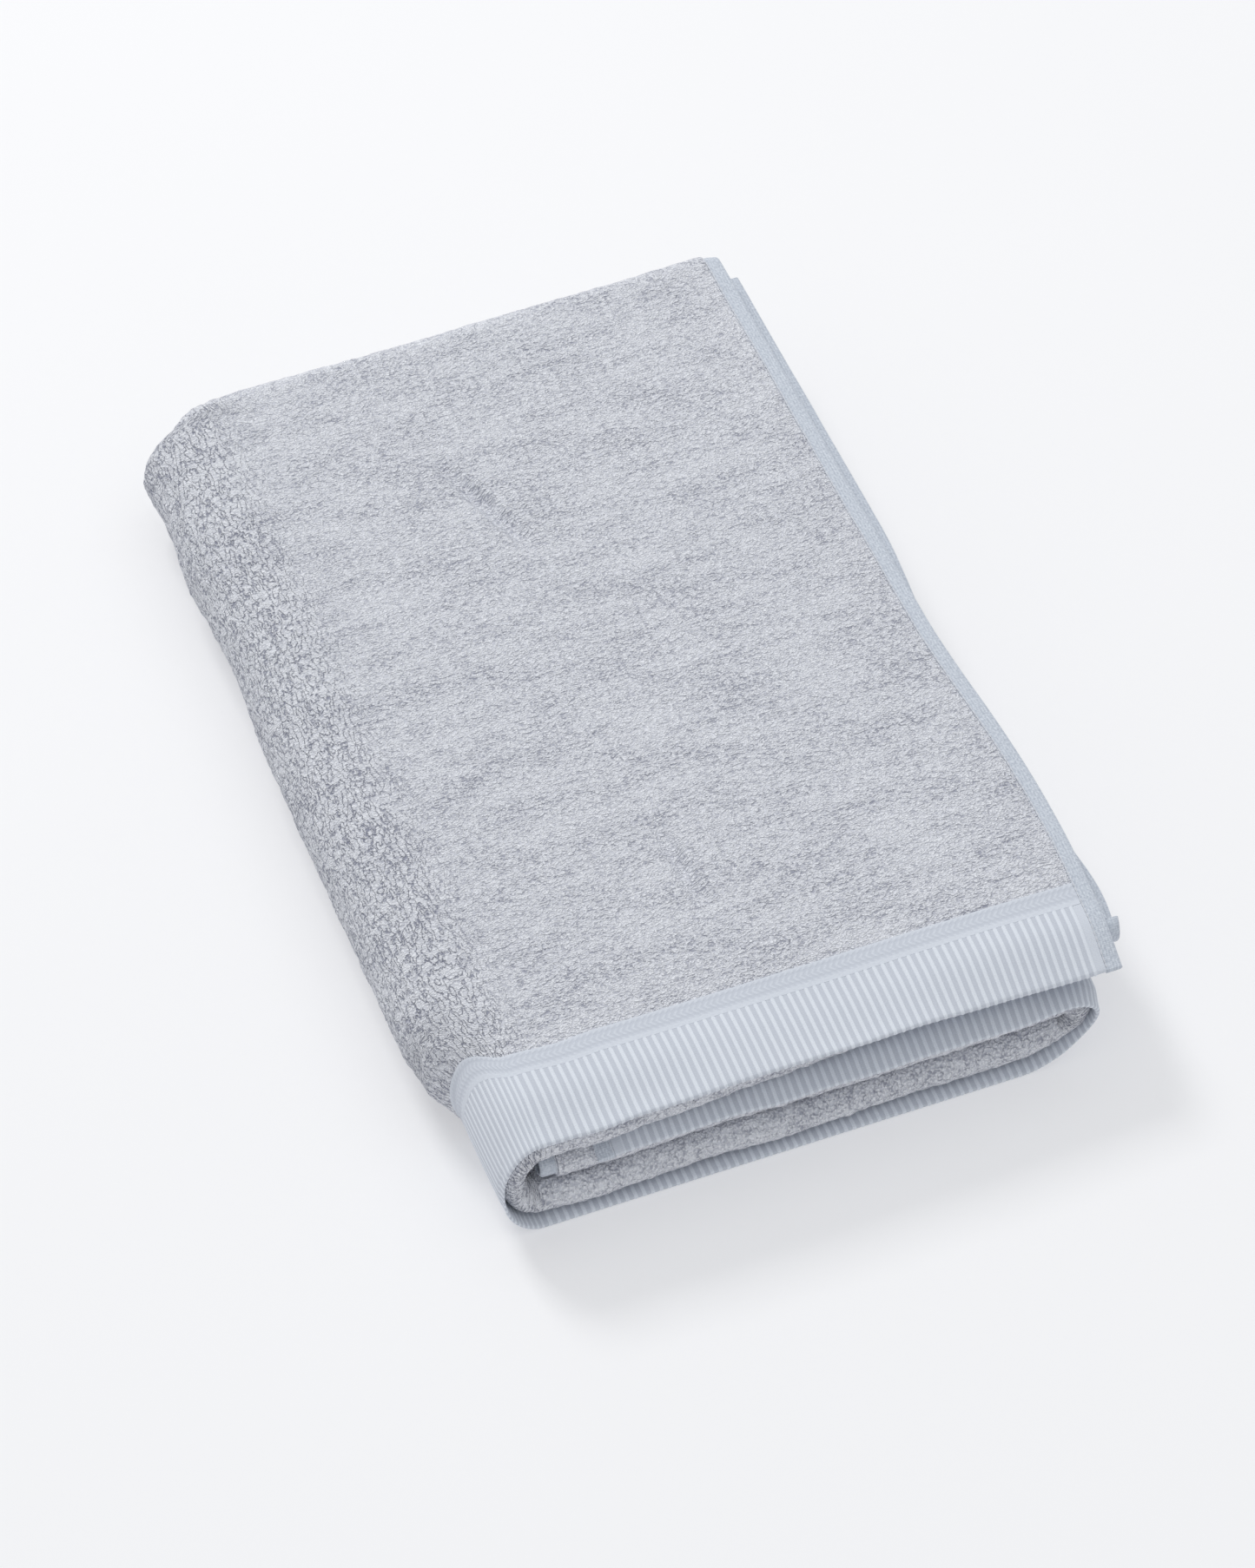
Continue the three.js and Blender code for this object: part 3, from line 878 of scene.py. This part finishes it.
# Painted shade of the pile's gaps and partings
TERRY_GAP_SHADE = "#8D90A1"
RIB_LIGHT = "#E1E6EE"
RIB_GREY = "#C9CED8"
HEM_LIGHT = "#DEE4EC"
HEM_DEEP = "#B1B8C4"
THREAD_LIGHT = "#F0F2F7"

# ---- Pieces -----------------------------------------------------------------------------------


def run_of(region):
    """Which run of side hem lies beside a region."""
    if region in ("terry_under", "front_fold"):
        return "under"
    return "middle" if region in ("terry_middle", "hidden_border") else "outer"


def inner_end(run):
    """Where the inner leaf's open edge is along u."""
    return TURN_U + RIGHT_X + WIDTH / 2 - SIDE_INSET["inner"][run]


def stretch_of(zone, run):
    """Where a zone's cloth starts and ends along u, and which of its ends lie at a seam."""
    seam = HEM_WIDTH + SEAM
    top_start = SIDE_INSET["top"][run] + seam
    inner_stop = inner_end(run) - seam
    return {
        "top": (top_start, TOP_U, (top_start, None)),
        "left_wrap": (TOP_U, WRAP_U, (None, None)),
        "bottom": (WRAP_U, FLOOR_U, (None, None)),
        "right_wrap": (FLOOR_U, TURN_U, (None, None)),
        "inner": (TURN_U, inner_stop, (None, inner_stop)),
    }[zone]


# How fine each region's grid is, in millimetres across and along, by zone where it differs
GRIDS = {
    "striped_border": {"": (RIB_PITCH / MM / 8, 2.4)},
    "flat_band": {"": (1.0, 1.1)},
    "terry_outer": {"top": (1.2, 1.2), "left_wrap": (1.1, 1.2), "bottom": (4, 4),
                    "right_wrap": (1.3, 1.4), "inner": (1.8, 1.8)},
    "back_fold": {"": (1.4, 1.0), "left_wrap": (1.0, 1.0), "right_wrap": (1.0, 1.0)},
    "terry_under": {"top": (1.8, 1.8), "": (3, 3), "left_wrap": (1.5, 3), "right_wrap": (1.2, 3)},
    "front_fold": {"": (0.95, 0.8), "left_wrap": (0.8, 0.8), "right_wrap": (0.7, 0.8)},
    "terry_middle": {"": (4, 5), "left_wrap": (2, 5), "right_wrap": (1.5, 5)},
    "hidden_border": {"": (4, 6), "left_wrap": (2, 6), "right_wrap": (1.5, 6)},
}
PLY_M = {"striped_border": BORDER_MIDDLE, "flat_band": BORDER_MIDDLE, "terry_outer": PITCH,
         "terry_under": -PITCH, "front_fold": ROLL_M}
LENGTHS = {
    "striped_border": BORDER_S + END_HEM,
    "flat_band": TERRY_S - BORDER_S,
    "terry_outer": BACK_S - TERRY_S,
    "back_fold": math.pi * PITCH,
    "terry_under": ROLL_S - UNDER_S,
    "front_fold": math.pi * ROLL_MIDDLE,
    "terry_middle": HIDDEN_BAND_Y - FRONT_Y - ROLL_RADIUS,
    "hidden_border": HIDDEN_END_Y - HIDDEN_BAND_Y,
}
SUFFIXES = {"striped_border": "ribs", "flat_band": "braid", "hidden_border": "weave"}

terry = cotton_terry()
plain_inset = HEM_WIDTH + SEAM + PLAIN_EDGE
stripes = striped_cotton((SIDE_INSET["top"]["outer"] + plain_inset) / MM,
                         cloth_u(inner_end("outer") - plain_inset, BORDER_MIDDLE) / MM)
braid_cloth = braided_cotton()
hem_cloth = hem_cotton()
thread = sewing_thread()
FINISHES = {"striped_border": (stripes, "striped_border"), "flat_band": (braid_cloth, "flat_band"),
            "hidden_border": (hem_cloth, "striped_border")}


def cut_width(zone, region, start, end):
    """Width of a region's cloth laid flat. In a wrap the ply's own radius sets its arc, after
    the spread or squeeze of the inner plies, whose mean over half a turn is two over pi."""
    if not zone.endswith("wrap"):
        return end - start
    m = PLY_M.get(region, 0.0)
    if m < 0:
        m = m * (1 + 2 / math.pi * (LEFT_SPREAD if zone == "left_wrap" else -RIGHT_SQUEEZE))
    return end - start + m * math.pi


def carry(piece, zone):
    """Puts a piece on its body: a piece of the top on the top leaf and any other on the folded stack,
    but for a piece of the left wrap, which is not attached and only has its place baked in."""
    if zone == "left_wrap":
        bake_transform(piece)
    else:
        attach(piece, "top_leaf" if zone == "top" else "folded_stack")


def border_rows():
    """Places along the end border: close together round the nose, wider on the flats."""
    under = np.linspace(-END_HEM - NOSE_RUN, -NOSE_RUN, 6)
    nose = np.linspace(-NOSE_RUN, 0, 7)
    over = np.linspace(0, BORDER_S - NOSE, 19)
    return np.concatenate([under[:-1], nose, over[1:]])


for zone in ("top", "left_wrap", "bottom", "right_wrap", "inner"):
    for region, length in LENGTHS.items():
        start, end, edges = stretch_of(zone, run_of(region))
        place = {
            "striped_border": end_border(edges), "flat_band": flat_band,
            "terry_outer": outer_terry(edges), "back_fold": back_fold,
            "terry_under": under_terry, "front_fold": front_fold,
            "terry_middle": middle_terry, "hidden_border": hidden_border,
        }[region]
        across, along = GRIDS[region].get(zone, GRIDS[region].get(""))
        width = cut_width(zone, region, start, end)
        step = across * MM * (end - start) / width
        if region == "striped_border":
            coarse = 1
            u = spaced(start, end, step, 1)
            t = border_rows()
        else:
            coarse = 2 if along > 1.5 else 4
            u = spaced(start, end, step, coarse)
            t = spaced(0, 1, along * MM / length, coarse)
        material, slot = FINISHES.get(region, (terry, "terry"))
        name = "{}_{}_{}".format(zone, region, SUFFIXES.get(region, "pile"))
        piece = slab(name, place, u, t, coarse, material, walls=material is terry)
        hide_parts(zone + "_" + region)
        carry(piece, zone)

for leaf, inward in (("top", 1), ("inner", -1)):
    for run in ("outer", "under", "middle"):
        edge = SIDE_INSET["top"][run] if leaf == "top" else inner_end(run)
        columns = edge + inward * HEM_WIDTH * np.array([0, 0.012, 0.05, 0.11, 0.2, 0.4, 0.6, 0.8, 1])
        length = {"outer": BACK_Y - FRONT_Y + math.pi * PITCH,
                  "under": BACK_Y - FRONT_Y + math.pi * ROLL_MIDDLE - ROLL_RADIUS,
                  "middle": HIDDEN_END_Y - FRONT_Y - ROLL_RADIUS}[run]
        t = spaced(0, 1, 1.5 * MM / length, 1)
        node = leaf + "_side_hem_" + run
        piece = slab(node + "_weave", side_hem(run, edge, inward), np.sort(columns), t, 1, hem_cloth)
        seam = leaf + "_seam_thread_" + run
        stitches = stitch_row(seam + "_stitches", run, edge + inward * (HEM_WIDTH - 0.5 * MM), thread)
        for each, old, slot in ((piece, node, "side_hem"), (stitches, seam, "seam_thread")):
            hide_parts(old)
            carry(each, leaf)

# ---- Floor, light and camera --------------------------------------------------------------------

FLOOR_SIZE = 12.0
TABLE_LIGHT = "#CECECF"
TABLE_DARK = "#CCCCCD"
# The table's painted glow, standing in for fill light that keeps its shadows pale
TABLE_GLOW = (0.98, 0.98, 1.0, 1.0)
TABLE_GLOW_STRENGTH = 0.34
SKY = (0.96, 0.98, 1.0, 1.0)
SKY_STRENGTH = 0.52
# Name, place, side, watts and colour of each lamp
LAMPS = (
    ("overhead_bank", (0.4, -0.2, 3.0), 3.5, 25, (0.97, 0.985, 1.0)),
    ("key_softbox", (-0.85, 3.0, 3.3), 1.2, 78, (1.0, 0.995, 0.985)),
)
VIEW_AZIMUTH = math.radians(-21.36)
VIEW_ELEVATION = math.radians(49.46)
VIEW_DISTANCE = 2.618
VIEW_TARGET = Vector((-0.0041, -0.0393, 0.028))
FOCAL_LENGTH = 122.45      # millimetres, for a 36 mm sensor

def table_with_painted_glow():
    """Matt white ground under the towel, with a painted glow: it gives part of its own light,
    standing in for fill light, so shadows on it stay pale."""
    material = bpy.data.materials.new("matt_white_painted_glow")
    material.use_nodes = True
    tree = material.node_tree
    shader = tree.nodes["Principled BSDF"]
    shader.inputs["Roughness"].default_value = 0.9
    shader.inputs["Specular IOR Level"].default_value = 0.1
    # Painted glow: the table gives off a little even light of its own, standing in for fill light
    shader.inputs["Emission Color"].default_value = TABLE_GLOW
    shader.inputs["Emission Strength"].default_value = TABLE_GLOW_STRENGTH
    place = add(tree, "ShaderNodeTexCoord")
    mottle = add(tree, "ShaderNodeTexNoise", {"Vector": place.outputs["Object"], "Scale": 3.0})
    colour = blend_colours(tree, mottle.outputs[0], linear(TABLE_DARK), linear(TABLE_LIGHT))
    tree.links.new(colour, shader.inputs["Base Color"])
    return material


ends = np.array([-0.5, 0.5]) * FLOOR_SIZE
corners = np.array([(x, y, -0.1 * MM) for x in ends for y in ends])
floor = object_from("table", corners, np.array([[0, 2, 3, 1]]), np.zeros((0, 3), int),
                    corners[:, :2], None, table_with_painted_glow())

world = bpy.data.worlds.new("white_studio")
world.use_nodes = True
background = world.node_tree.nodes["Background"]
background.inputs["Color"].default_value = SKY
background.inputs["Strength"].default_value = SKY_STRENGTH
bpy.context.scene.world = world


def softbox(name, place, size, power, colour):
    """A square lamp that faces the towel."""
    lamp = bpy.data.lights.new(name, "AREA")
    lamp.size = size
    lamp.energy = power
    lamp.color = colour
    holder = bpy.data.objects.new(name, lamp)
    bpy.context.collection.objects.link(holder)
    holder.location = place
    holder.rotation_mode = "QUATERNION"
    holder.rotation_quaternion = (-Vector(place)).to_track_quat("-Z", "Y")


for lamp_values in LAMPS:
    softbox(*lamp_values)

back = Vector((math.sin(VIEW_AZIMUTH) * math.cos(VIEW_ELEVATION),
               -math.cos(VIEW_AZIMUTH) * math.cos(VIEW_ELEVATION), math.sin(VIEW_ELEVATION)))
lens = bpy.data.cameras.new("camera")
lens.lens = FOCAL_LENGTH
lens.sensor_width = 36
lens.clip_start = 0.05
lens.clip_end = 50
camera = bpy.data.objects.new("camera", lens)
bpy.context.collection.objects.link(camera)
camera.location = VIEW_TARGET + back * VIEW_DISTANCE
camera.rotation_mode = "QUATERNION"
camera.rotation_quaternion = (-back).to_track_quat("-Z", "Y")
bpy.context.scene.camera = camera
bpy.context.scene.view_settings.view_transform = "Standard"
